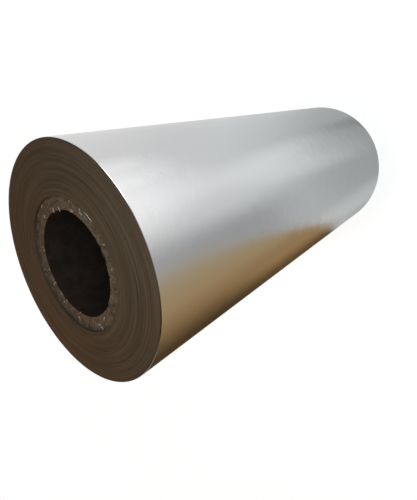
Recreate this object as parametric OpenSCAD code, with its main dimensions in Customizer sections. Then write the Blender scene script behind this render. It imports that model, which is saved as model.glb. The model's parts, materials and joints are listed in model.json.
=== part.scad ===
// Roll of coated paper, wound on a thick paperboard core and stood on its end.
// The sheet is brown kraft with a bright metallised face, which is wound outwards.
// The origin is on the roll's axis where the lower end stands, and +Z runs up the axis.

/* [Sheet] */
// Width of the sheet, from one end of the roll to the other
web_w = 400; // [150:5:900]
// Thickness of the sheet with its coatings, which is the step at its free end
sheet_t = 0.12; // [0.06:0.01:0.4]

/* [Roll] */
// Outside diameter of the wound roll
roll_d = 170; // [140:1:600]
// Where the free end of the sheet lies, as an angle round the roll from +X
tail_angle = 110; // [0:5:360]

/* [Turns] */
// Bands of turns that can be told apart on each end, inside the outer band
band_count = 15; // [4:1:18]
// Radial width of the outer band, which the roll stands on
outer_band_w = 5; // [3:0.5:10]
// How far the turns that strayed most lie out of line with the outer band
band_stray = 0.6; // [0.1:0.1:3]

/* [Core] */
// Bore of the core
core_bore_d = 76.2; // [70:0.1:80]
// Wall thickness of the core
core_wall = 10; // [4:0.5:15]
// How far each end of the core lies inside the end of the roll
core_recess = 2; // [0:0.5:20]

/* [Hidden] */
$fn = 96;

roll_r = roll_d / 2;
bore_r = core_bore_d / 2;
core_r = bore_r + core_wall;
inner_turns_r = roll_r - outer_band_w;

// How far a cut runs past the surface that it opens, and a top piece into what is below it
lap = 2;

// Share of a band's width by which its edge wanders from even spacing
edge_wander = 0.35;
// Turning angles in degrees that give the bands their uneven widths and heights
edge_step = 137;
stray_step = 71;

// Radius of the edge between two bands: edge 0 is at the core, the last at the outer band
function band_edge(i) =
    core_r + (inner_turns_r - core_r)
    * (i + (i == 0 || i == band_count ? 0 : edge_wander * sin(i * edge_step))) / band_count;

// Height of a band above the outer band, from nearly nothing up to band_stray
function band_rise(i) = band_stray * (0.55 + 0.45 * sin(i * stray_step));

// Half section of the inner turns, filled to the axis, from a flat underside up to the
// bands' uneven tops, which rise above level
function bands_section(underside, level) = concat(
    [[0, underside], [inner_turns_r, underside]],
    [for (i = [band_count - 1 : -1 : 0], side = [1, 0])
        [i + side == 0 ? 0 : band_edge(i + side), level + band_rise(i)]]
);

// Half plane that keeps the side of an outline which lies towards +Y
module upper_half() {
    translate([-roll_d, 0]) square([2 * roll_d, roll_d]);
}

// Outline of the last turn: half a turn at the full radius, then half a turn about a
// shifted centre that closes in until it meets the turn below, one sheet further in
module last_turn_outline() {
    intersection() {
        circle(r = roll_r);
        upper_half();
    }
    intersection() {
        translate([sheet_t / 2, 0]) circle(r = roll_r - sheet_t / 2);
        mirror([0, 1]) upper_half();
    }
}

// The wound sheet, with all its turns in one solid. Every band is as wide as the sheet,
// so one that stands proud at the top is sunk by as much at the bottom.
module paper_roll() {
    color("#C9CBCD") difference() {
        union() {
            difference() {
                rotate([0, 0, tail_angle - 180]) linear_extrude(height = web_w) last_turn_outline();
                rotate_extrude() polygon(bands_section(-lap, 0));
            }
            rotate_extrude() polygon(bands_section(web_w - lap, web_w));
        }
        translate([0, 0, -lap]) cylinder(r = core_r, h = web_w + band_stray + 2 * lap);
    }
}

// The paperboard tube that the sheet is wound on, with both ends inside the roll
module core_tube() {
    color("#8B7A64") translate([0, 0, core_recess])
        linear_extrude(height = web_w - 2 * core_recess) difference() {
            circle(r = core_r);
            circle(r = bore_r);
        }
}

paper_roll();
core_tube();
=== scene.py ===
import json
import math

import bmesh
import bpy
from mathutils import Matrix, Vector


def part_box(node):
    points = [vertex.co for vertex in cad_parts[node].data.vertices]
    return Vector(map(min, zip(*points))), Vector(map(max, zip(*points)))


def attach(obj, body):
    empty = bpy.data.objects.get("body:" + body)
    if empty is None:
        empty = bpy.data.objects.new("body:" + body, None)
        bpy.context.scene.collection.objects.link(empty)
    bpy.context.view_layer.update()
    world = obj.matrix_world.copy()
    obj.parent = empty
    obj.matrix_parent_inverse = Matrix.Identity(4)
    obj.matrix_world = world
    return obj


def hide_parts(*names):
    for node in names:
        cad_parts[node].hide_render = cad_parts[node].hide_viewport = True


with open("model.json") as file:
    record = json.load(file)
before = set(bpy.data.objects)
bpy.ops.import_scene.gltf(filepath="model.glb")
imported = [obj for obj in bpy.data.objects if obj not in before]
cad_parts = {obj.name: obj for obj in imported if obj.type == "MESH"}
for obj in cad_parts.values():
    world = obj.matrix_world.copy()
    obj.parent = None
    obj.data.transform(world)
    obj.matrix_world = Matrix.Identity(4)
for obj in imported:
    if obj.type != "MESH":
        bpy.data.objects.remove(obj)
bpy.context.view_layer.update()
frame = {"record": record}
scene = bpy.context.scene
mm = 0.001
noiseLow, noiseHigh = 0.3, 0.7  # a noise texture seldom leaves this range

# Sizes read from the frame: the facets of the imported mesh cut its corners, so they are rounded
sheetLow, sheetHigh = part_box("paper_roll")
coreLow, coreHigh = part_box("core_tube")
rollRadius = round(max(sheetHigh.x, sheetHigh.y), 4)
coreRadius = round(coreHigh.x, 4)
sheetWidth = coreLow.z + coreHigh.z  # the core lies as deep inside both ends
coreBore = next(m for m in frame["record"]["mounts"] if m["name"] == "core_bore")
boreRadius = coreBore["dims"]["r_mm"] * mm
print("frame loaded: roll radius %.4f, core radius %.4f, width %.4f" % (rollRadius, coreRadius, sheetWidth))


def linear(hexColour):
    # sRGB hex to the linear values that Blender's sockets take
    channels = [int(hexColour[i:i + 2], 16) / 255 for i in (1, 3, 5)]
    return [c / 12.92 if c <= 0.04045 else ((c + 0.055) / 1.055) ** 2.4 for c in channels] + [1.0]


def addNode(tree, kind, inputs=None, **settings):
    # adds one node. Settings are its own properties. Inputs are plain values, other nodes'
    # sockets, or other nodes, of which the first output is taken
    node = tree.nodes.new(kind)
    for name, value in settings.items():
        setattr(node, name, value)
    for key, value in (inputs or {}).items():
        if isinstance(value, bpy.types.Node):
            value = value.outputs[0]
        if isinstance(value, bpy.types.NodeSocket):
            tree.links.new(value, node.inputs[key])
        else:
            node.inputs[key].default_value = value
    return node


def setRamp(node, stops):
    # stops are (place, colour) pairs in rising order
    ramp = node.color_ramp
    while len(ramp.elements) > 1:
        ramp.elements.remove(ramp.elements[-1])
    for i, (place, colour) in enumerate(stops):
        element = ramp.elements[0] if i == 0 else ramp.elements.new(place)
        element.position = place
        element.color = colour
    return node


def newMaterial(name):
    material = bpy.data.materials.new(name)
    material.use_nodes = True
    material.node_tree.nodes.clear()
    return material, material.node_tree


# Materials

# Vacuum-metallised, poly-coated kraft: a mirror-like aluminium film that takes the faint
# cloudiness of the paper under it, so reflections are broad, soft and slightly mottled
metallisedFace = {
    "colour": "#E4E4E5",
    "roughness": (0.12, 0.17),
    "cloudSize": 11 * mm,  # floc of the paper under the film
    "cloudDepth": 0.09 * mm,
    "peelSize": 2.2 * mm,  # orange peel of the coating, drawn coarse enough for the render to show
    "peelDepth": 0.032 * mm,
}


def makeMetallisedFace():
    material, tree = newMaterial("metallised_kraft_coated")
    place = addNode(tree, "ShaderNodeTexCoord").outputs["Object"]
    cloud = addNode(tree, "ShaderNodeTexNoise", {
        "Vector": place, "Scale": 1 / metallisedFace["cloudSize"], "Detail": 2.0, "Roughness": 0.5})
    peel = addNode(tree, "ShaderNodeTexNoise", {
        "Vector": place, "Scale": 1 / metallisedFace["peelSize"], "Detail": 3.0, "Roughness": 0.6})
    low, high = metallisedFace["roughness"]
    rough = addNode(tree, "ShaderNodeMapRange", {
        "Value": cloud, "From Min": noiseLow, "From Max": noiseHigh, "To Min": low, "To Max": high})
    cloudBump = addNode(tree, "ShaderNodeBump", {
        "Height": cloud, "Distance": metallisedFace["cloudDepth"], "Strength": 1.0})
    peelBump = addNode(tree, "ShaderNodeBump", {
        "Height": peel, "Distance": metallisedFace["peelDepth"], "Strength": 1.0, "Normal": cloudBump})
    shader = addNode(tree, "ShaderNodeBsdfPrincipled", {
        "Base Color": linear(metallisedFace["colour"]), "Metallic": 1.0,
        "Roughness": rough, "Normal": peelBump})
    addNode(tree, "ShaderNodeOutputMaterial", {"Surface": shader})
    return material


# Slit edges of wound kraft: hundreds of brown sheet edges pressed together, which the eye
# sees as fine rings, some of them paler or darker than their neighbours
kraftEdges = {
    "brown": "#6F553E",
    "pale": "#83694E",
    "dark": "#5A4532",
    "paleProud": "#857155",  # turns that stand proud, drawn paler than the rest
    "ringSize": 0.65 * mm,  # one sheet is 0.12 mm, too fine to show, so rings are drawn coarser
    "ringSwing": 0.9,  # how much a ring changes on its way round
    "ringDepth": 0.05 * mm,
    "bandSize": 5 * mm,
    "bandSwing": 0.8,
    "bandShade": (0.84, 1.12),
    "roughness": 0.75,
    "paleProudRoughness": 0.85,
    "sheen": 0.12,  # fibres stand on end, so little of the surface faces one way
}


def makeKraftEdges():
    material, tree = newMaterial("kraft_slit_edges")
    place = addNode(tree, "ShaderNodeTexCoord").outputs["Object"]
    parts = addNode(tree, "ShaderNodeSeparateXYZ", {0: place}).outputs
    flat = addNode(tree, "ShaderNodeCombineXYZ", {"X": parts[0], "Y": parts[1]})
    radius = addNode(tree, "ShaderNodeVectorMath", {0: flat}, operation="LENGTH").outputs["Value"]
    heading = addNode(tree, "ShaderNodeVectorMath", {0: flat}, operation="NORMALIZE")

    def ringNoise(size, swing, detail):
        # noise that changes quickly across the turns and slowly along them
        across = addNode(tree, "ShaderNodeMath", {0: radius, 1: 1 / size}, operation="MULTIPLY")
        along = addNode(tree, "ShaderNodeVectorMath", {0: heading, "Scale": swing}, operation="SCALE")
        sides = addNode(tree, "ShaderNodeSeparateXYZ", {0: along}).outputs
        spot = addNode(tree, "ShaderNodeCombineXYZ", {"X": across, "Y": sides[0], "Z": sides[1]})
        return addNode(tree, "ShaderNodeTexNoise", {
            "Vector": spot, "Scale": 1.0, "Detail": detail, "Roughness": 0.6})

    rings = ringNoise(kraftEdges["ringSize"], kraftEdges["ringSwing"], 3.0)
    bands = ringNoise(kraftEdges["bandSize"], kraftEdges["bandSwing"], 1.0)
    tone = setRamp(addNode(tree, "ShaderNodeValToRGB", {0: rings}), [
        (0.30, linear(kraftEdges["dark"])), (0.52, linear(kraftEdges["brown"])),
        (0.72, linear(kraftEdges["pale"]))])
    low, high = kraftEdges["bandShade"]
    shade = addNode(tree, "ShaderNodeMapRange", {
        "Value": bands, "From Min": noiseLow, "From Max": noiseHigh, "To Min": low, "To Max": high})
    colour = addNode(tree, "ShaderNodeVectorMath", {0: tone, 1: shade}, operation="MULTIPLY")
    bump = addNode(tree, "ShaderNodeBump", {
        "Height": rings, "Distance": kraftEdges["ringDepth"], "Strength": 1.0})
    shader = addNode(tree, "ShaderNodeBsdfPrincipled", {
        "Base Color": colour, "Roughness": kraftEdges["roughness"], "IOR": 1.5,
        "Specular IOR Level": kraftEdges["sheen"], "Normal": bump})
    addNode(tree, "ShaderNodeOutputMaterial", {"Surface": shader})
    return material


def makePaleProudEdges():
    # the same edges where turns stand proud, drawn paler than the rest
    material, tree = newMaterial("kraft_edges_pale_proud")
    shader = addNode(tree, "ShaderNodeBsdfPrincipled", {
        "Base Color": linear(kraftEdges["paleProud"]), "Roughness": kraftEdges["paleProudRoughness"],
        "IOR": 1.5, "Specular IOR Level": kraftEdges["sheen"]})
    addNode(tree, "ShaderNodeOutputMaterial", {"Surface": shader})
    return material


# Recycled paperboard, saw-cut: grey-brown, speckled with fibre, and quite matt
coreBoard = {
    "brown": "#83654D",
    "pale": "#AD927A",
    "dark": "#4D3B31",
    "speckleSize": 1.1 * mm,
    "blotchSize": 4 * mm,
    "blotchShare": 0.35,
    "cutDepth": 0.25 * mm,
    "roughness": 0.85,
    "sheen": 0.25,
}


def makeCoreBoard():
    material, tree = newMaterial("recycled_board_cut")
    place = addNode(tree, "ShaderNodeTexCoord").outputs["Object"]
    speckle = addNode(tree, "ShaderNodeTexNoise", {
        "Vector": place, "Scale": 1 / coreBoard["speckleSize"], "Detail": 4.0, "Roughness": 0.65})
    blotch = addNode(tree, "ShaderNodeTexNoise", {
        "Vector": place, "Scale": 1 / coreBoard["blotchSize"], "Detail": 2.0, "Roughness": 0.5})
    both = addNode(tree, "ShaderNodeMix", {0: coreBoard["blotchShare"], 2: speckle, 3: blotch})
    tone = setRamp(addNode(tree, "ShaderNodeValToRGB", {0: both}), [
        (0.34, linear(coreBoard["dark"])), (0.5, linear(coreBoard["brown"])),
        (0.66, linear(coreBoard["pale"]))])
    bump = addNode(tree, "ShaderNodeBump", {
        "Height": speckle, "Distance": coreBoard["cutDepth"], "Strength": 1.0})
    shader = addNode(tree, "ShaderNodeBsdfPrincipled", {
        "Base Color": tone, "Roughness": coreBoard["roughness"], "IOR": 1.5,
        "Specular IOR Level": coreBoard["sheen"], "Normal": bump})
    addNode(tree, "ShaderNodeOutputMaterial", {"Surface": shader})
    return material


# The ply that lines the bore, smoother than the cut ends. Its dark colour is painted shade, standing in for
# the little light that reaches into the bore. It is wound on a slant, so its seam climbs the bore as a thin
# darker line
shadedBoreLiner = {
    "dark": "#372920",
    "pale": "#483429",
    "clotSize": 9 * mm,
    "seam": "#271D18",
    "plyPitch": 118 * mm,
    "seamWidth": 0.9 * mm,  # along the bore
    "roughness": 0.8,
    "sheen": 0.1,
}


def makeShadedBoreLiner():
    material, tree = newMaterial("board_liner_painted_shade")
    place = addNode(tree, "ShaderNodeTexCoord").outputs["Object"]
    clots = addNode(tree, "ShaderNodeTexNoise", {
        "Vector": place, "Scale": 1 / shadedBoreLiner["clotSize"], "Detail": 2.0, "Roughness": 0.5})
    # dark tones all over: painted shade for the inside of the bore
    tone = setRamp(addNode(tree, "ShaderNodeValToRGB", {0: clots}), [
        (0.35, linear(shadedBoreLiner["dark"])), (0.65, linear(shadedBoreLiner["pale"]))])
    parts = addNode(tree, "ShaderNodeSeparateXYZ", {0: place}).outputs
    turn = addNode(tree, "ShaderNodeMath", {0: parts[1], 1: parts[0]}, operation="ARCTAN2")
    turn = addNode(tree, "ShaderNodeMath", {0: turn, 1: 1 / (2 * math.pi)}, operation="MULTIPLY")
    climb = addNode(tree, "ShaderNodeMath", {
        0: parts[2], 1: 1 / shadedBoreLiner["plyPitch"], 2: turn}, operation="MULTIPLY_ADD")
    climb = addNode(tree, "ShaderNodeMath", {0: climb}, operation="FRACT")
    seam = addNode(tree, "ShaderNodeMath", {
        0: climb, 1: shadedBoreLiner["seamWidth"] / shadedBoreLiner["plyPitch"]}, operation="LESS_THAN")
    colour = addNode(tree, "ShaderNodeMix", {
        0: seam, 6: tone, 7: linear(shadedBoreLiner["seam"])}, data_type="RGBA").outputs[2]
    shader = addNode(tree, "ShaderNodeBsdfPrincipled", {
        "Base Color": colour, "Roughness": shadedBoreLiner["roughness"], "IOR": 1.5,
        "Specular IOR Level": shadedBoreLiner["sheen"]})
    addNode(tree, "ShaderNodeOutputMaterial", {"Surface": shader})
    return material


# Torn board fibre, paler than the cut face because no saw dust is pressed into it
tornFibre = {"colour": "#CBB7A3", "roughness": 0.9}


def makeTornFibre():
    material, tree = newMaterial("recycled_board_torn")
    shader = addNode(tree, "ShaderNodeBsdfPrincipled", {
        "Base Color": linear(tornFibre["colour"]), "Roughness": tornFibre["roughness"], "IOR": 1.5})
    addNode(tree, "ShaderNodeOutputMaterial", {"Surface": shader})
    return material


silver = makeMetallisedFace()
brown = makeKraftEdges()
paleProud = makePaleProudEdges()
board = makeCoreBoard()
shadedLiner = makeShadedBoreLiner()
torn = makeTornFibre()
print("materials made")


# Geometry node trees

def newTree(name, sizes):
    # a tree with one named input for each size, and one geometry output
    tree = bpy.data.node_groups.new(name, "GeometryNodeTree")
    for label, value in sizes.items():
        kind = "NodeSocketInt" if isinstance(value, int) else "NodeSocketFloat"
        tree.interface.new_socket(label, in_out="INPUT", socket_type=kind).default_value = value
    tree.interface.new_socket("Geometry", in_out="OUTPUT", socket_type="NodeSocketGeometry")
    return tree, addNode(tree, "NodeGroupInput").outputs, addNode(tree, "NodeGroupOutput").inputs[0]


def runTree(name, tree, sizes):
    # evaluates the tree and keeps its result as a plain, closed mesh whose faces point outwards
    piece = bpy.data.objects.new(name, bpy.data.meshes.new(name))
    scene.collection.objects.link(piece)
    modifier = piece.modifiers.new("made by rule", "NODES")
    modifier.node_group = tree
    for socket in tree.interface.items_tree:
        if socket.in_out == "INPUT":
            modifier[socket.identifier] = sizes[socket.name]
    evaluated = piece.evaluated_get(bpy.context.evaluated_depsgraph_get())
    piece.data = bpy.data.meshes.new_from_object(evaluated)
    piece.modifiers.clear()
    shape = bmesh.new()
    shape.from_mesh(piece.data)
    bmesh.ops.recalc_face_normals(shape, faces=shape.faces)
    openEdges = sum(1 for edge in shape.edges if not edge.is_manifold)
    shape.to_mesh(piece.data)
    shape.free()
    print("%s: %d faces, %d open edges" % (name, len(piece.data.polygons), openEdges))
    return piece


# One strip swept round the axis, from a start radius and height to an end radius and height.
# Each side of it may gain some radius over the turn, as a wound sheet does.
stripSizes = {
    "Start Radius": 0.1, "Start Height": 0.0, "Start Gain": 0.0,
    "End Radius": 0.1, "End Height": 0.1, "End Gain": 0.0,
    "First Angle": 0.0, "Turn": 1.0, "Columns": 360, "Rows": 2,
}


def makeStripTree():
    tree, size, result = newTree("swept_strip", stripSizes)
    grid = addNode(tree, "GeometryNodeMeshGrid", {
        "Size X": 1.0, "Size Y": 1.0, "Vertices X": size["Columns"], "Vertices Y": size["Rows"]})
    place = addNode(tree, "GeometryNodeInputPosition")
    place = addNode(tree, "ShaderNodeSeparateXYZ", {0: place}).outputs
    along = addNode(tree, "ShaderNodeMath", {0: place[0], 1: 0.5}, operation="ADD")
    across = addNode(tree, "ShaderNodeMath", {0: place[1], 1: 0.5}, operation="ADD")
    radius, gain, height = [
        addNode(tree, "ShaderNodeMix", {0: across, 2: size["Start " + part], 3: size["End " + part]})
        for part in ("Radius", "Gain", "Height")]
    reach = addNode(tree, "ShaderNodeMath", {0: gain, 1: along, 2: radius}, operation="MULTIPLY_ADD")
    sweep = addNode(tree, "ShaderNodeMath", {0: size["Turn"], 1: 2 * math.pi}, operation="MULTIPLY")
    angle = addNode(tree, "ShaderNodeMath", {
        0: along, 1: sweep, 2: size["First Angle"]}, operation="MULTIPLY_ADD")
    x, y = [
        addNode(tree, "ShaderNodeMath", {
            0: reach, 1: addNode(tree, "ShaderNodeMath", {0: angle}, operation=kind)}, operation="MULTIPLY")
        for kind in ("COSINE", "SINE")]
    spot = addNode(tree, "ShaderNodeCombineXYZ", {"X": x, "Y": y, "Z": height})
    bent = addNode(tree, "GeometryNodeSetPosition", {"Geometry": grid, "Position": spot})
    tree.links.new(bent.outputs[0], result)
    return tree


def polar(tree):
    # place, radius from the axis, and the outward direction, at each point of the geometry
    place = addNode(tree, "GeometryNodeInputPosition")
    flat = addNode(tree, "ShaderNodeVectorMath", {0: place, 1: (1.0, 1.0, 0.0)}, operation="MULTIPLY")
    radius = addNode(tree, "ShaderNodeVectorMath", {0: flat}, operation="LENGTH").outputs["Value"]
    outward = addNode(tree, "ShaderNodeVectorMath", {0: flat}, operation="NORMALIZE")
    return place, radius, outward


def finishTree(tree, shape, result):
    # welds the strips, keeps corners crisp, and ends the tree
    welded = addNode(tree, "GeometryNodeMergeByDistance", {"Geometry": shape, "Distance": weldSize})
    bend = addNode(tree, "GeometryNodeInputMeshEdgeAngle")
    corner = addNode(tree, "FunctionNodeCompare", {0: bend, 1: cornerAngle}, operation="GREATER_THAN")
    smooth = addNode(tree, "GeometryNodeSetShadeSmooth", {"Geometry": welded})
    crisp = addNode(tree, "GeometryNodeSetShadeSmooth", {
        "Geometry": smooth, "Selection": corner, "Shade Smooth": False}, domain="EDGE")
    real = addNode(tree, "GeometryNodeRealizeInstances", {"Geometry": crisp})
    tree.links.new(real.outputs[0], result)


stripTree = makeStripTree()
weldSize = 0.002 * mm
cornerAngle = math.radians(35)

# The wound sheet
woundSheet = {
    "Roll Radius": rollRadius,
    "Core Radius": coreRadius,
    "Sheet Width": sheetWidth,
    "Sheet Thickness": 0.12 * mm,
    "Free End Angle": math.radians(110),  # away from the camera, as in the construction
    "Outer Band": 5 * mm,  # the outer turns lie true, and the roll stands on them
    "Band Blend": 2 * mm,  # width over which the straying turns settle into the outer band
    "Stray": 0.6 * (sheetHigh.z - sheetWidth),  # how far other turns stray out of line
    "Worn Edge": 0.25 * mm,  # rounding of the outer turn's edges by handling
    "Wave": 0.12 * mm,  # full span of the outer turn's wander, in and out
    "Proud Turns": 16,  # short arcs where a few turns stand up from the upper end
    "Proud Width": 0.4 * mm,
    "Proud Sweep": math.radians(48),
    "Proud Inner Gap": 2 * mm,  # the arcs keep this far from the core
    "Proud Outer Gap": 7 * mm,  # and from the worn edge
    "Foil Angle": math.radians(-55),  # a sliver of film that has come loose at the core
    "Foil Length": math.radians(-13),
    "Foil Width": 0.22 * mm,
    "Foil Gap": 0.4 * mm,
    "Columns": 361,
    "Rings": 90,
    "Rows": 36,
    "Seed": 4,
}

# How the turns stray: wide bands of turns, and narrower ones among them. The step is about a
# band's width, and the swing says how much it changes on its way round
strayPattern = [
    {"step": 3.2 * mm, "swing": 0.3},
    {"step": 0.8 * mm, "swing": 0.7},
]
fineShare = 0.22  # how much of the straying is in the narrower bands
waveScale = (20.0, 20.0, 9.0)  # waves a metre, across and along the roll
arcPoints = 40


def makeSheetTree():
    tree, size, result = newTree("wound_sheet", woundSheet)
    gain, core, width, worn = [
        size[k] for k in ("Sheet Thickness", "Core Radius", "Sheet Width", "Worn Edge")]
    under = addNode(tree, "ShaderNodeMath", {0: size["Roll Radius"], 1: gain}, operation="SUBTRACT")
    rim = addNode(tree, "ShaderNodeMath", {0: under, 1: worn}, operation="SUBTRACT")
    high = addNode(tree, "ShaderNodeMath", {0: width, 1: worn}, operation="SUBTRACT")
    bandEdge = addNode(tree, "ShaderNodeMath", {
        0: size["Roll Radius"], 1: size["Outer Band"]}, operation="SUBTRACT")
    bandStart = addNode(tree, "ShaderNodeMath", {
        0: bandEdge, 1: size["Band Blend"]}, operation="SUBTRACT")
    top = addNode(tree, "ShaderNodeCombineXYZ", {"Z": width})

    def strip(material, start, end, startGain, endGain, rows, turn=1.0, columns=size["Columns"]):
        swept = addNode(tree, "GeometryNodeGroup", {
            "Start Radius": start[0], "Start Height": start[1], "Start Gain": startGain,
            "End Radius": end[0], "End Height": end[1], "End Gain": endGain,
            "First Angle": size["Free End Angle"], "Turn": turn,
            "Columns": columns, "Rows": rows}, node_tree=stripTree)
        return addNode(tree, "GeometryNodeSetMaterial", {"Geometry": swept, "Material": material})

    strips = [
        strip(silver, (under, worn), (under, high), gain, gain, size["Rows"]),  # the outer face
        strip(silver, (under, high), (rim, width), gain, gain, 2),
        strip(silver, (under, worn), (rim, 0.0), gain, gain, 2),
        strip(brown, (core, width), (rim, width), 0.0, 0.0, size["Rings"]),
        strip(brown, (rim, width), (rim, width), 0.0, gain, 2),  # the last turn's edge, to its free end
        strip(brown, (core, 0.0), (rim, 0.0), 0.0, 0.0, size["Rings"]),
        strip(brown, (rim, 0.0), (rim, 0.0), 0.0, gain, 2),
        strip(brown, (core, 0.0), (core, width), 0.0, 0.0, 2),  # the first turn, against the core
    ]
    # the free end's own edge: the step up from the turn below
    for start, end, rows in (
            ((under, worn), (under, high), size["Rows"]),
            ((under, high), (rim, width), 2),
            ((under, worn), (rim, 0.0), 2)):
        strips.append(strip(brown, start, end, gain, gain, rows, 0.0, 2))

    # turns that stand proud, as arcs of any radius and heading that taper to nothing at both ends
    first = addNode(tree, "ShaderNodeMath", {0: core, 1: size["Proud Inner Gap"]}, operation="ADD")
    last = addNode(tree, "ShaderNodeMath", {0: rim, 1: size["Proud Outer Gap"]}, operation="SUBTRACT")
    spots = addNode(tree, "GeometryNodePoints", {"Count": size["Proud Turns"], "Position": top})
    heading = addNode(tree, "FunctionNodeRandomValue", {
        "Min": 0.0, "Max": 2 * math.pi, "Seed": size["Seed"]}).outputs[1]
    reach = addNode(tree, "FunctionNodeRandomValue", {"Min": first, "Max": last, "Seed": 11}).outputs[1]
    facing = addNode(tree, "ShaderNodeCombineXYZ", {"Z": heading})
    arc = addNode(tree, "GeometryNodeCurveArc", {
        "Resolution": arcPoints, "Radius": 1.0, "Start Angle": 0.0, "Sweep Angle": size["Proud Sweep"]})
    arcs = addNode(tree, "GeometryNodeInstanceOnPoints", {
        "Points": spots, "Instance": arc, "Rotation": facing, "Scale": reach})
    arcs = addNode(tree, "GeometryNodeRealizeInstances", {"Geometry": arcs})
    # the loose sliver of film stands on end just outside the core
    foilRadius = addNode(tree, "ShaderNodeMath", {0: core, 1: size["Foil Gap"]}, operation="ADD")
    foil = addNode(tree, "GeometryNodeCurveArc", {
        "Resolution": arcPoints, "Radius": foilRadius, "Start Angle": size["Foil Angle"],
        "Sweep Angle": size["Foil Length"]})
    foil = addNode(tree, "GeometryNodeTransform", {"Geometry": foil, "Translation": top})
    along = addNode(tree, "GeometryNodeSplineParameter").outputs["Factor"]
    taper = addNode(tree, "ShaderNodeMath", {0: along, 1: math.pi}, operation="MULTIPLY")
    taper = addNode(tree, "ShaderNodeMath", {0: taper}, operation="SINE")
    # never quite to a point, so that the end caps keep their faces
    taper = addNode(tree, "ShaderNodeMath", {0: taper, 1: 0.02}, operation="MAXIMUM")
    for curve, material, across in (
            (arcs, paleProud, size["Proud Width"]), (foil, silver, size["Foil Width"])):
        section = addNode(tree, "GeometryNodeCurvePrimitiveQuadrilateral", {
            "Width": across, "Height": across})
        drawn = addNode(tree, "GeometryNodeCurveToMesh", {
            "Curve": curve, "Profile Curve": section, "Scale": taper, "Fill Caps": True})
        strips.append(addNode(tree, "GeometryNodeSetMaterial", {
            "Geometry": drawn, "Material": material}))
    joined = addNode(tree, "GeometryNodeJoinGeometry")
    for part in strips:
        tree.links.new(part.outputs[0], joined.inputs[0])

    # bands of turns that strayed together while the sheet was wound, all in the same direction
    place, radius, outward = polar(tree)
    seed = addNode(tree, "ShaderNodeMath", {0: size["Seed"], 1: 7.3}, operation="MULTIPLY")  # well apart
    strays = []
    for pattern in strayPattern:
        across = addNode(tree, "ShaderNodeMath", {
            0: radius, 1: 1 / pattern["step"], 2: seed}, operation="MULTIPLY_ADD")
        along = addNode(tree, "ShaderNodeVectorMath", {
            0: outward, "Scale": pattern["swing"]}, operation="SCALE")
        sides = addNode(tree, "ShaderNodeSeparateXYZ", {0: along}).outputs
        spot = addNode(tree, "ShaderNodeCombineXYZ", {"X": across, "Y": sides[0], "Z": sides[1]})
        noise = addNode(tree, "ShaderNodeTexNoise", {"Vector": spot, "Scale": 1.0, "Detail": 1.0})
        strays.append(addNode(tree, "ShaderNodeMapRange", {
            "Value": noise, "From Min": noiseLow, "From Max": noiseHigh}))
    mixed = addNode(tree, "ShaderNodeMix", {0: fineShare, 2: strays[0], 3: strays[1]})
    free = addNode(tree, "ShaderNodeMapRange", {
        "Value": radius, "From Min": bandStart, "From Max": bandEdge, "To Min": 1.0, "To Max": 0.0})
    rise = addNode(tree, "ShaderNodeMath", {0: mixed, 1: free}, operation="MULTIPLY")
    rise = addNode(tree, "ShaderNodeMath", {0: rise, 1: size["Stray"]}, operation="MULTIPLY")
    lift = addNode(tree, "ShaderNodeCombineXYZ", {"Z": rise})
    # the outer turn isn't a true cylinder: the paper under it wanders a little in thickness
    swell = addNode(tree, "ShaderNodeVectorMath", {0: place, 1: waveScale}, operation="MULTIPLY")
    wander = addNode(tree, "ShaderNodeTexNoise", {"Vector": swell, "Scale": 1.0, "Detail": 1.0})
    wander = addNode(tree, "ShaderNodeMath", {0: wander, 1: 0.5}, operation="SUBTRACT")
    outer = addNode(tree, "ShaderNodeMapRange", {
        "Value": radius, "From Min": bandEdge, "From Max": under, "To Min": 0.0, "To Max": 1.0})
    wander = addNode(tree, "ShaderNodeMath", {0: wander, 1: outer}, operation="MULTIPLY")
    wander = addNode(tree, "ShaderNodeMath", {0: wander, 1: size["Wave"]}, operation="MULTIPLY")
    swerve = addNode(tree, "ShaderNodeVectorMath", {0: outward, "Scale": wander}, operation="SCALE")
    offset = addNode(tree, "ShaderNodeVectorMath", {0: swerve, 1: lift}, operation="ADD")
    moved = addNode(tree, "GeometryNodeSetPosition", {"Geometry": joined, "Offset": offset})
    finishTree(tree, moved, result)
    return tree


paperRoll = runTree("wound_paper", makeSheetTree(), woundSheet)

# The core
coreTube = {
    "Bore Radius": boreRadius,
    "Core Radius": coreRadius,
    "Low End": coreLow.z,
    "High End": coreHigh.z,
    "Roughness": 0.22 * mm,  # of the cut ends
    "Tear": 0.5 * mm,  # how far the saw tore the plies at the rim of the bore
    "Torn Width": 1.2 * mm,  # how far from the bore the tears reach
    "Flake Length": 4.0 * mm,  # of the longest shred of board that the saw left behind
    "Flakes": 13000.0,  # on each square metre of cut end
    "Columns": 361,
    "Rings": 22,
    "Rows": 14,
}
# The noise that the rough ends follow: its size, and the range of it that goes from none to full
sawGrain = {"size": 1.6 * mm, "from": 0.75, "to": 0.3}
tears = {"size": 3.2 * mm, "from": 0.5, "to": 0.68}
# A shred's half length, half width and half thickness, and the shares of Flake Length it may have
flakeShape = (1.0, 0.34, 0.2)
flakeLengths = (0.12, 0.5)


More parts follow.
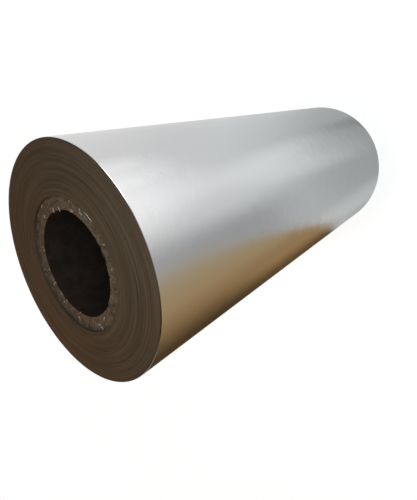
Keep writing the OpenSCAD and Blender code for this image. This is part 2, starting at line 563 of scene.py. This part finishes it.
def makeCoreTree():
    tree, size, result = newTree("paperboard_core", coreTube)
    bore, core, low, high = [size[k] for k in ("Bore Radius", "Core Radius", "Low End", "High End")]
    joined = addNode(tree, "GeometryNodeJoinGeometry")
    for material, start, end, rows in (
            # the bore wall's dark colour is painted shade
            (shadedLiner, (bore, low), (bore, high), size["Rows"]),
            (board, (bore, high), (core, high), size["Rings"]),
            (board, (core, high), (core, low), size["Rows"]),
            (board, (core, low), (bore, low), size["Rings"])):
        swept = addNode(tree, "GeometryNodeGroup", {
            "Start Radius": start[0], "Start Height": start[1], "Start Gain": 0.0,
            "End Radius": end[0], "End Height": end[1], "End Gain": 0.0,
            "First Angle": 0.0, "Turn": 1.0, "Columns": size["Columns"], "Rows": rows}, node_tree=stripTree)
        named = addNode(tree, "GeometryNodeSetMaterial", {"Geometry": swept, "Material": material})
        tree.links.new(named.outputs[0], joined.inputs[0])

    # which points lie on an end, and which way the tube's inside is from there
    place, radius, outward = polar(tree)
    height = addNode(tree, "ShaderNodeSeparateXYZ", {0: place}).outputs[2]
    middle = addNode(tree, "ShaderNodeMix", {0: 0.5, 2: low, 3: high})
    fromMiddle = addNode(tree, "ShaderNodeMath", {0: height, 1: middle}, operation="SUBTRACT")
    side = addNode(tree, "ShaderNodeMath", {0: fromMiddle}, operation="SIGN")
    inward = addNode(tree, "ShaderNodeMath", {0: side, 1: -1.0}, operation="MULTIPLY")
    reach = addNode(tree, "ShaderNodeMath", {0: high, 1: middle}, operation="SUBTRACT")
    away = addNode(tree, "ShaderNodeMath", {0: fromMiddle}, operation="ABSOLUTE")
    atEnd = addNode(tree, "FunctionNodeCompare", {
        0: away, 1: reach, "Epsilon": 0.01 * mm}, operation="EQUAL")
    # sawn fibres leave the end uneven, and plies are torn back at the rim of the bore
    grain = addNode(tree, "ShaderNodeTexNoise", {
        "Vector": place, "Scale": 1 / sawGrain["size"], "Detail": 2.0})
    grain = addNode(tree, "ShaderNodeMapRange", {
        "Value": grain, "From Min": sawGrain["from"], "From Max": sawGrain["to"]})
    dip = addNode(tree, "ShaderNodeMath", {0: grain, 1: size["Roughness"]}, operation="MULTIPLY")
    rip = addNode(tree, "ShaderNodeTexNoise", {"Vector": place, "Scale": 1 / tears["size"], "Detail": 3.0})
    rip = addNode(tree, "ShaderNodeMapRange", {
        "Value": rip, "From Min": tears["from"], "From Max": tears["to"]})
    rimEnd = addNode(tree, "ShaderNodeMath", {0: bore, 1: size["Torn Width"]}, operation="ADD")
    nearRim = addNode(tree, "ShaderNodeMapRange", {
        "Value": radius, "From Min": bore, "From Max": rimEnd, "To Min": 1.0, "To Max": 0.0})
    rip = addNode(tree, "ShaderNodeMath", {0: rip, 1: nearRim}, operation="MULTIPLY")
    rip = addNode(tree, "ShaderNodeMath", {0: rip, 1: size["Tear"]}, operation="MULTIPLY")
    sink = addNode(tree, "ShaderNodeMath", {0: dip, 1: rip}, operation="ADD")
    sink = addNode(tree, "ShaderNodeMath", {0: sink, 1: inward}, operation="MULTIPLY")
    down = addNode(tree, "ShaderNodeCombineXYZ", {"Z": sink})
    back = addNode(tree, "ShaderNodeVectorMath", {0: outward, "Scale": rip}, operation="SCALE")
    offset = addNode(tree, "ShaderNodeVectorMath", {0: back, 1: down}, operation="ADD")
    moved = addNode(tree, "GeometryNodeSetPosition", {
        "Geometry": joined, "Selection": atEnd, "Offset": offset})

    # shreds lie flat on the cut ends, long, thin and pointing any way
    facing = addNode(tree, "GeometryNodeInputNormal")
    facing = addNode(tree, "ShaderNodeSeparateXYZ", {0: facing}).outputs[2]
    facing = addNode(tree, "ShaderNodeMath", {0: facing}, operation="ABSOLUTE")
    cutEnd = addNode(tree, "FunctionNodeCompare", {0: facing, 1: 0.5}, operation="GREATER_THAN")
    spots = addNode(tree, "GeometryNodeDistributePointsOnFaces", {
        "Mesh": moved, "Selection": cutEnd, "Density": size["Flakes"], "Seed": 5})
    ball = addNode(tree, "GeometryNodeMeshIcoSphere", {"Radius": 1.0, "Subdivisions": 2})
    turn = addNode(tree, "FunctionNodeRandomValue", {"Min": 0.0, "Max": 2 * math.pi, "Seed": 2}).outputs[1]
    turn = addNode(tree, "ShaderNodeCombineXYZ", {"Z": turn})
    length = addNode(tree, "FunctionNodeRandomValue", {
        "Min": flakeLengths[0], "Max": flakeLengths[1], "Seed": 3}).outputs[1]
    length = addNode(tree, "ShaderNodeMath", {0: length, 1: size["Flake Length"]}, operation="MULTIPLY")
    shape = addNode(tree, "ShaderNodeVectorMath", {0: flakeShape, "Scale": length}, operation="SCALE")
    shreds = addNode(tree, "GeometryNodeInstanceOnPoints", {
        "Points": spots, "Instance": ball, "Scale": shape, "Rotation": turn})
    shreds = addNode(tree, "GeometryNodeRealizeInstances", {"Geometry": shreds})
    shreds = addNode(tree, "GeometryNodeSetMaterial", {"Geometry": shreds, "Material": torn})
    whole = addNode(tree, "GeometryNodeJoinGeometry")
    for part in (moved, shreds):
        tree.links.new(part.outputs[0], whole.inputs[0])
    finishTree(tree, whole, result)
    return tree


core = runTree("board_core", makeCoreTree(), coreTube)

for piece, node, slot in ((paperRoll, "paper_roll", "metallised_paper"), (core, "core_tube", "core_board")):
    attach(piece, "root")
    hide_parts(node)
print("roll and core made")


# Studio: a pale floor that is lit from within, so that it stays even, and darkens a little
# where the roll stands on it
studio = {
    "floorColour": "#A8A8A7",
    "floorSize": 6.0,
    "floorGlow": 0.965,
    "shadowFrom": rollRadius * 1.0,
    "shadowTo": rollRadius * 1.7,
    "shadowDepth": 0.08,
    "fill": (0.07, 0.062, 0.040),  # how brightly the surroundings light the matt surfaces
    "backdrop": (1.0, 1.0, 1.0, 1.0),
}

# Lamps for the matt surfaces: place measured from the middle of the upper end, size, power, colour
lamps = {
    "key_soft_box": ((0.0, -0.22, 0.15), 0.25, 0.44, (0.55, 0.83, 1.12)),
    "warm_fill": ((-0.16, 0.34, 0.10), 0.20, 0.50, (1.0, 0.55, 0.08)),
}

# What the bright face mirrors: a grey room, darker towards its floor and ceiling, soft boxes and a
# brown bench on the -X side. Heights and headings of directions run from -1 to 1, so a height of
# -1 is straight down, and directions themselves are (degrees round from +X, degrees up).
room = {
    "greys": [(-1.0, 0.34), (-0.945, 0.39), (-0.92, 0.43), (-0.87, 0.60), (-0.80, 0.69), (-0.70, 0.70),
              (-0.60, 0.76), (-0.40, 0.84), (0.0, 0.86), (0.28, 0.78), (0.5, 0.25), (1.0, 0.40)],
    "coolTint": 0.04,  # a little blue-green towards the floor
    "coolFrom": (-0.6, -0.9),  # the heights where it starts and is full
    # direction, angle from its middle to its edge, and the light it adds or takes away
    "boxes": [
        ((-60, -20), 36, 0.39),
        ((-30, -32), 16, 0.20),
        ((-62, -65), 17, 0.20),
        ((-50, -76), 15, -0.20),
        ((174, -70), 12, 0.12),
        ((-15, -34), 9, 0.14),
        ((165, 18), 40, -0.18),
        ((204, 40), 24, -0.15),
        ((88, 36), 14, 1.5),  # on the upper end
        ((-30, 42), 20, 2.4),  # on its rim
    ],
    "dim": 0.46,  # how much darker the room is towards -X
    "dimEast": (0.06, -0.50),
    "dimNorth": (0.98, 0.55),
    "dimHeight": (-0.91, -0.80),
    # heading towards +Y, with the bench's colour there
    "bench": [(-0.86, (0.42, 0.375, 0.285, 1.0)), (-0.60, (0.395, 0.31, 0.185, 1.0)),
              (-0.26, (0.38, 0.262, 0.133, 1.0)), (0.0, (0.30, 0.190, 0.089, 1.0)),
              (0.26, (0.195, 0.122, 0.052, 1.0)), (0.44, (0.13, 0.080, 0.035, 1.0)),
              (0.64, (0.07, 0.042, 0.018, 1.0))],
    # height, with the heading towards +Y where the bench's front edge lies there
    "benchEdge": [(-0.895, 0.30), (-0.86, -0.28), (-0.80, -0.61), (-0.70, -0.78), (-0.60, -0.80),
                  (-0.50, -0.80)],
    "edgeBlur": 0.16,
    "benchTop": (-0.25, -0.47),
    "benchFoot": (-0.895, -0.880),
    "benchEnd": (-0.05, -0.60),  # it fades out behind the roll
    "benchGlow": 0.6,  # the bench is lighter towards its foot, at the back
    "glowNorth": (-0.1, 0.3),
    "glowHeight": (-0.66, -0.82),
}


def makeFloor():
    mesh = bpy.data.meshes.new("studio_floor")
    half = studio["floorSize"] / 2
    corners = [(-half, -half, 0), (half, -half, 0), (half, half, 0), (-half, half, 0)]
    mesh.from_pydata(corners, [], [(0, 1, 2, 3)])
    floor = bpy.data.objects.new("studio_floor", mesh)
    scene.collection.objects.link(floor)
    material, tree = newMaterial("pale_backdrop_paper")
    place = addNode(tree, "ShaderNodeTexCoord").outputs["Object"]
    radius = addNode(tree, "ShaderNodeVectorMath", {0: place}, operation="LENGTH").outputs["Value"]
    glow = addNode(tree, "ShaderNodeMapRange", {
        "Value": radius, "From Min": studio["shadowFrom"], "From Max": studio["shadowTo"],
        "To Min": studio["floorGlow"] - studio["shadowDepth"], "To Max": studio["floorGlow"]},
        interpolation_type="SMOOTHERSTEP")
    shader = addNode(tree, "ShaderNodeBsdfPrincipled", {
        "Base Color": linear(studio["floorColour"]), "Roughness": 0.9,
        "Emission Color": (1.0, 1.0, 1.0, 1.0), "Emission Strength": glow})
    addNode(tree, "ShaderNodeOutputMaterial", {"Surface": shader})
    mesh.materials.append(material)
    floor.visible_glossy = floor.visible_diffuse = floor.visible_shadow = False


def aimed(azimuth, elevation):
    # unit vector for a direction in degrees
    a, e = math.radians(azimuth), math.radians(elevation)
    return Vector((math.cos(e) * math.cos(a), math.cos(e) * math.sin(a), math.sin(e)))


def makeSurroundings():
    world = bpy.data.worlds.new("studio")
    scene.world = world
    world.use_nodes = True
    tree = world.node_tree
    tree.nodes.clear()
    rays = addNode(tree, "ShaderNodeLightPath").outputs
    aim = addNode(tree, "ShaderNodeTexCoord").outputs["Generated"]
    height = addNode(tree, "ShaderNodeSeparateXYZ", {0: aim}).outputs[2]
    flat = addNode(tree, "ShaderNodeVectorMath", {0: aim, 1: (1.0, 1.0, 0.0)}, operation="MULTIPLY")
    heading = addNode(tree, "ShaderNodeVectorMath", {0: flat}, operation="NORMALIZE")
    east, north = addNode(tree, "ShaderNodeSeparateXYZ", {0: heading}).outputs[:2]

    # shares that change smoothly, from nothing at the first value to the full amount at the second
    shares = {}
    for name, value, amount in (
            ("dimEast", east, room["dim"]), ("dimNorth", north, 1.0), ("dimHeight", height, 1.0),
            ("glowNorth", north, room["benchGlow"]), ("glowHeight", height, 1.0),
            ("benchEnd", east, 1.0), ("benchTop", height, 1.0), ("benchFoot", height, 1.0)):
        shares[name] = addNode(tree, "ShaderNodeMapRange", {
            "Value": value, "From Min": room[name][0], "From Max": room[name][1],
            "To Min": 0.0, "To Max": amount}, interpolation_type="SMOOTHSTEP")

    # colours along a height or a heading, which a ramp takes as a share from 0 to 1
    start, end = room["coolFrom"]
    greys = []
    for place, grey in room["greys"]:
        tinted = grey * (1 + room["coolTint"] * min(1.0, max(0.0, (place - start) / (end - start))))
        greys.append((place, (grey, tinted, tinted, 1.0)))
    edges = [(place, [(at + 1) / 2] * 3 + [1.0]) for place, at in room["benchEdge"]]
    ramps = []
    for value, stops in ((height, greys), (north, room["bench"]), (height, edges)):
        share = addNode(tree, "ShaderNodeMapRange", {"Value": value, "From Min": -1.0, "From Max": 1.0})
        ramp = addNode(tree, "ShaderNodeValToRGB", {0: share})
        ramps.append(setRamp(ramp, [((place + 1) / 2, colour) for place, colour in stops]))
    grey, benchColour, edge = ramps

    # the room, dimmer towards -X, with its soft boxes
    dim = addNode(tree, "ShaderNodeMath", {
        0: shares["dimEast"], 1: shares["dimNorth"]}, operation="MULTIPLY")
    dim = addNode(tree, "ShaderNodeMath", {0: dim, 1: shares["dimHeight"]}, operation="MULTIPLY")
    light = addNode(tree, "ShaderNodeMath", {0: 1.0, 1: dim}, operation="SUBTRACT")
    grey = addNode(tree, "ShaderNodeVectorMath", {0: grey, "Scale": light}, operation="SCALE")
    for direction, spread, amount in room["boxes"]:
        near = addNode(tree, "ShaderNodeVectorMath", {0: aim, 1: aimed(*direction)}, operation="DOT_PRODUCT")
        glow = addNode(tree, "ShaderNodeMapRange", {
            "Value": near.outputs["Value"], "From Min": math.cos(math.radians(spread)), "From Max": 1.0,
            "To Min": 0.0, "To Max": amount}, interpolation_type="SMOOTHSTEP")
        grey = addNode(tree, "ShaderNodeVectorMath", {0: grey, 1: glow}, operation="ADD")

    # the bench in front of it
    lighter = addNode(tree, "ShaderNodeMath", {
        0: shares["glowNorth"], 1: shares["glowHeight"], 2: 1.0}, operation="MULTIPLY_ADD")
    benchColour = addNode(tree, "ShaderNodeVectorMath", {
        0: benchColour, "Scale": lighter}, operation="SCALE")
    edge = addNode(tree, "ShaderNodeMapRange", {"Value": edge, "To Min": -1.0, "To Max": 1.0})
    past = addNode(tree, "ShaderNodeMath", {0: north, 1: edge}, operation="SUBTRACT")
    covered = addNode(tree, "ShaderNodeMapRange", {
        "Value": past, "From Min": -room["edgeBlur"], "From Max": room["edgeBlur"],
        "To Min": 0.0, "To Max": 1.0}, interpolation_type="SMOOTHSTEP")
    for name in ("benchEnd", "benchTop", "benchFoot"):
        covered = addNode(tree, "ShaderNodeMath", {0: covered, 1: shares[name]}, operation="MULTIPLY")
    seen = addNode(tree, "ShaderNodeMix", {
        0: covered, 6: grey, 7: benchColour}, data_type="RGBA").outputs[2]

    # matt surfaces are lit evenly from above, and the camera sees a plain backdrop
    above = addNode(tree, "ShaderNodeMath", {0: height, 1: 0.0}, operation="GREATER_THAN")
    fill = addNode(tree, "ShaderNodeVectorMath", {0: studio["fill"], "Scale": above}, operation="SCALE")
    for ray, colour in (("Is Diffuse Ray", fill), ("Is Camera Ray", studio["backdrop"])):
        seen = addNode(tree, "ShaderNodeMix", {
            0: rays[ray], 6: seen, 7: colour}, data_type="RGBA").outputs[2]
    sky = addNode(tree, "ShaderNodeBackground", {"Color": seen, "Strength": 1.0})
    addNode(tree, "ShaderNodeOutputWorld", {"Surface": sky})
    world.cycles.sampling_method = "NONE"


def addSoftBox(name, place, size, power, colour):
    # aimed at the middle of the upper end, and not itself mirrored in the bright face
    data = bpy.data.lights.new(name, "AREA")
    data.shape = "SQUARE"
    data.size = size
    data.energy = power
    data.color = colour
    lamp = bpy.data.objects.new(name, data)
    scene.collection.objects.link(lamp)
    lamp.location = Vector(place) + Vector((0.0, 0.0, sheetWidth))
    lamp.rotation_euler = (-Vector(place)).to_track_quat("-Z", "Y").to_euler()
    lamp.visible_camera = lamp.visible_glossy = False


makeFloor()
makeSurroundings()
for name, (place, size, power, colour) in lamps.items():
    addSoftBox(name, place, size, power, colour)
print("studio made")

# Camera: the photo shows the roll on its side, so the camera is rolled over by as much
view = {
    "location": (0.0, -0.2402, sheetWidth + 0.1176),
    "aim": (-0.0076, 0.0, 0.2580),
    "roll": -113.0,
    "focalPixels": 372.4,  # for a frame 500 pixels high
    "framePixels": 500,
    "centreShiftPixels": -30,  # the photo's framing
}


def makeCamera():
    data = bpy.data.cameras.new("camera")
    data.sensor_width = 36.0
    data.lens = view["focalPixels"] / view["framePixels"] * data.sensor_width
    data.shift_y = view["centreShiftPixels"] / view["framePixels"]
    data.clip_start = 0.01
    camera = bpy.data.objects.new("camera", data)
    scene.collection.objects.link(camera)
    place = Vector(view["location"])
    level = (Vector(view["aim"]) - place).to_track_quat("-Z", "Y").to_matrix()
    turned = level @ Matrix.Rotation(math.radians(view["roll"]), 3, "Z")
    camera.matrix_world = Matrix.Translation(place) @ turned.to_4x4()
    scene.camera = camera


makeCamera()
scene.view_settings.view_transform = "Standard"
print("camera set")
